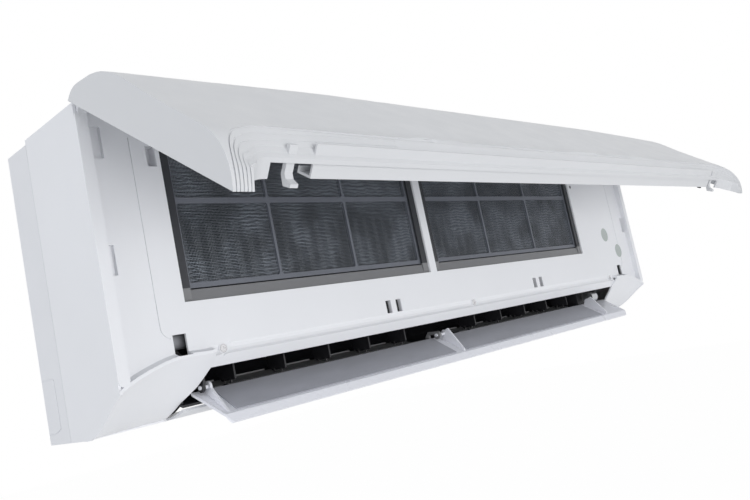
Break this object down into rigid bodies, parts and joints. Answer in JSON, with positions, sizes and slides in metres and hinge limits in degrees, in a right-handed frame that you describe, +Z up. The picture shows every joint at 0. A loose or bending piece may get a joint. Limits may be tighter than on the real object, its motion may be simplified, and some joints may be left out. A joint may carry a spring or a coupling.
{
  "type": "mini split indoor unit",
  "caption": "Wall-hung air conditioner indoor unit with lift-up front panel, slide-out filters, tilting air flap, swinging vanes and a cross-flow fan.",
  "frame": {"origin": "on the wall face of the mounting plate, at the middle of the unit's length and half its 290 mm height", "axes": "+X along the unit to the right as seen from the front, front towards -Y, +Z up"},
  "size_m": [1.06, 0.356, 0.3111],
  "materials": {
    "casing_white": "satin",
    "chassis_white": "satin",
    "panel_white": "satin",
    "flap_white": "satin",
    "flap_lining": "felted",
    "duct_black": "matt",
    "duct_grey": "matt",
    "vane_black": "matt",
    "grille_white": "satin",
    "filter_grey": "matt",
    "filter_mesh": "woven mesh",
    "fin_aluminium": "bare",
    "plate_steel": "galvanised",
    "copper": "drawn copper",
    "brass": "turned",
    "fan_black": "matt",
    "shaft_steel": "ground",
    "rubber": "matt",
    "holder_grey": "matt",
    "motor_steel": "satin",
    "cover_steel": "galvanised",
    "board_green": "solder resist",
    "terminal_cream": "matt",
    "lens_smoke": "gloss",
    "button_dark": "matt"
  },
  "bodies": {
    "casing": {"air_duct": "duct_black", "bearing_holder": "holder_grey", "button_switch": "button_dark", "coil_sensor": "motor_steel", "control_board": "board_green", "control_box": "holder_grey", "control_cover": "cover_steel", "display_board": "board_green", "display_lenses": "lens_smoke", "drain_pan": "duct_black", "drain_spigot": "holder_grey", "evaporator_front": "fin_aluminium", "evaporator_rear": "fin_aluminium", "evaporator_upper": "fin_aluminium", "fan_motor": "motor_steel", "filter_guides": "duct_grey", "flap_motor": "motor_steel", "flap_support": "duct_grey", "flare_nuts": "brass", "frame_screws": "shaft_steel", "front_frame": "casing_white", "gas_pipe": "copper", "inlet_grille": "grille_white", "liquid_pipe": "copper", "motor_clamp": "plate_steel", "mounting_plate": "plate_steel", "rear_chassis": "chassis_white", "return_bends": "copper", "shaft_bearing": "rubber", "terminal_block": "terminal_cream", "tube_plates": "plate_steel", "vane_bases": "duct_grey", "vane_motors": "motor_steel"},
    "panel": {"front_panel": "panel_white", "panel_stiffener": "panel_white", "panel_latches": "panel_white", "panel_bumper": "rubber"},
    "flap": {"flap_blade": "flap_white", "flap_pads": "flap_lining", "flap_brackets": "flap_white"},
    "fan": {"cross_flow_fan": "fan_black", "fan_shafts": "shaft_steel"},
    "filter_left": {"filter_frame_left": "filter_grey", "filter_mesh_left": "filter_mesh"},
    "filter_right": {"filter_frame_right": "filter_grey", "filter_mesh_right": "filter_mesh"},
    "button": {"emergency_button": "button_dark"},
    "vane_left_1": {"vane_left_1": "vane_black"},
    "vane_left_2": {"vane_left_2": "vane_black"},
    "vane_left_3": {"vane_left_3": "vane_black"},
    "vane_left_4": {"vane_left_4": "vane_black"},
    "vane_left_5": {"vane_left_5": "vane_black"},
    "vane_link_left": {"vane_link_left": "vane_black"},
    "vane_right_1": {"vane_right_1": "vane_black"},
    "vane_right_2": {"vane_right_2": "vane_black"},
    "vane_right_3": {"vane_right_3": "vane_black"},
    "vane_right_4": {"vane_right_4": "vane_black"},
    "vane_right_5": {"vane_right_5": "vane_black"},
    "vane_link_right": {"vane_link_right": "vane_black"}
  },
  "joints": [
    {"name": "panel_hinge", "type": "hinge", "parent": "casing", "child": "panel", "pos_m": [0, -0.1485, 0.1415], "axis": [-1, 0, 0], "range_deg": [-55.5, 10]},
    {"name": "flap_hinge", "type": "hinge", "parent": "casing", "child": "flap", "pos_m": [0, -0.119, -0.12], "axis": [-1, 0, 0], "range_deg": [-8, 75]},
    {"name": "fan_spin", "type": "hinge", "parent": "casing", "child": "fan", "pos_m": [0, -0.06, -0.047], "axis": [1, 0, 0], "continuous": true},
    {"name": "filter_left_lift", "type": "slide", "parent": "casing", "child": "filter_left", "axis": [0, 0, 1], "range_m": [0, 0.008]},
    {"name": "filter_right_lift", "type": "slide", "parent": "casing", "child": "filter_right", "axis": [0, 0, 1], "range_m": [0, 0.008]},
    {"name": "button_press", "type": "slide", "parent": "casing", "child": "button", "axis": [0, 1, 0], "range_m": [0, 0.0015], "stiffness_N_per_m": 400, "springref_m": -0.001},
    {"name": "vane_left_1_turn", "type": "hinge", "parent": "casing", "child": "vane_left_1", "pos_m": [-0.375, -0.082, -0.12], "axis": [0, 0, 1], "range_deg": [-30, 30]},
    {"name": "vane_left_2_turn", "type": "hinge", "parent": "casing", "child": "vane_left_2", "pos_m": [-0.308, -0.082, -0.12], "axis": [0, 0, 1], "range_deg": [-30, 30]},
    {"name": "vane_left_3_turn", "type": "hinge", "parent": "casing", "child": "vane_left_3", "pos_m": [-0.241, -0.082, -0.12], "axis": [0, 0, 1], "range_deg": [-30, 30]},
    {"name": "vane_left_4_turn", "type": "hinge", "parent": "casing", "child": "vane_left_4", "pos_m": [-0.174, -0.082, -0.12], "axis": [0, 0, 1], "range_deg": [-30, 30]},
    {"name": "vane_left_5_turn", "type": "hinge", "parent": "casing", "child": "vane_left_5", "pos_m": [-0.107, -0.082, -0.12], "axis": [0, 0, 1], "range_deg": [-30, 30]},
    {"name": "vane_link_left_slide", "type": "slide", "parent": "casing", "child": "vane_link_left", "axis": [1, 0, 0], "range_m": [-0.00628, 0.00628]},
    {"name": "vane_right_1_turn", "type": "hinge", "parent": "casing", "child": "vane_right_1", "pos_m": [0.048, -0.082, -0.12], "axis": [0, 0, 1], "range_deg": [-30, 30]},
    {"name": "vane_right_2_turn", "type": "hinge", "parent": "casing", "child": "vane_right_2", "pos_m": [0.115, -0.082, -0.12], "axis": [0, 0, 1], "range_deg": [-30, 30]},
    {"name": "vane_right_3_turn", "type": "hinge", "parent": "casing", "child": "vane_right_3", "pos_m": [0.182, -0.082, -0.12], "axis": [0, 0, 1], "range_deg": [-30, 30]},
    {"name": "vane_right_4_turn", "type": "hinge", "parent": "casing", "child": "vane_right_4", "pos_m": [0.249, -0.082, -0.12], "axis": [0, 0, 1], "range_deg": [-30, 30]},
    {"name": "vane_right_5_turn", "type": "hinge", "parent": "casing", "child": "vane_right_5", "pos_m": [0.316, -0.082, -0.12], "axis": [0, 0, 1], "range_deg": [-30, 30]},
    {"name": "vane_link_right_slide", "type": "slide", "parent": "casing", "child": "vane_link_right", "axis": [1, 0, 0], "range_m": [-0.00628, 0.00628]}
  ],
  "couplings": [
    {"joint": "vane_left_1_turn", "follows": "vane_link_left_slide", "rad_per_m": 83.333},
    {"joint": "vane_left_2_turn", "follows": "vane_link_left_slide", "rad_per_m": 83.333},
    {"joint": "vane_left_3_turn", "follows": "vane_link_left_slide", "rad_per_m": 83.333},
    {"joint": "vane_left_4_turn", "follows": "vane_link_left_slide", "rad_per_m": 83.333},
    {"joint": "vane_left_5_turn", "follows": "vane_link_left_slide", "rad_per_m": 83.333},
    {"joint": "vane_right_1_turn", "follows": "vane_link_right_slide", "rad_per_m": 83.333},
    {"joint": "vane_right_2_turn", "follows": "vane_link_right_slide", "rad_per_m": 83.333},
    {"joint": "vane_right_3_turn", "follows": "vane_link_right_slide", "rad_per_m": 83.333},
    {"joint": "vane_right_4_turn", "follows": "vane_link_right_slide", "rad_per_m": 83.333},
    {"joint": "vane_right_5_turn", "follows": "vane_link_right_slide", "rad_per_m": 83.333}
  ]
}
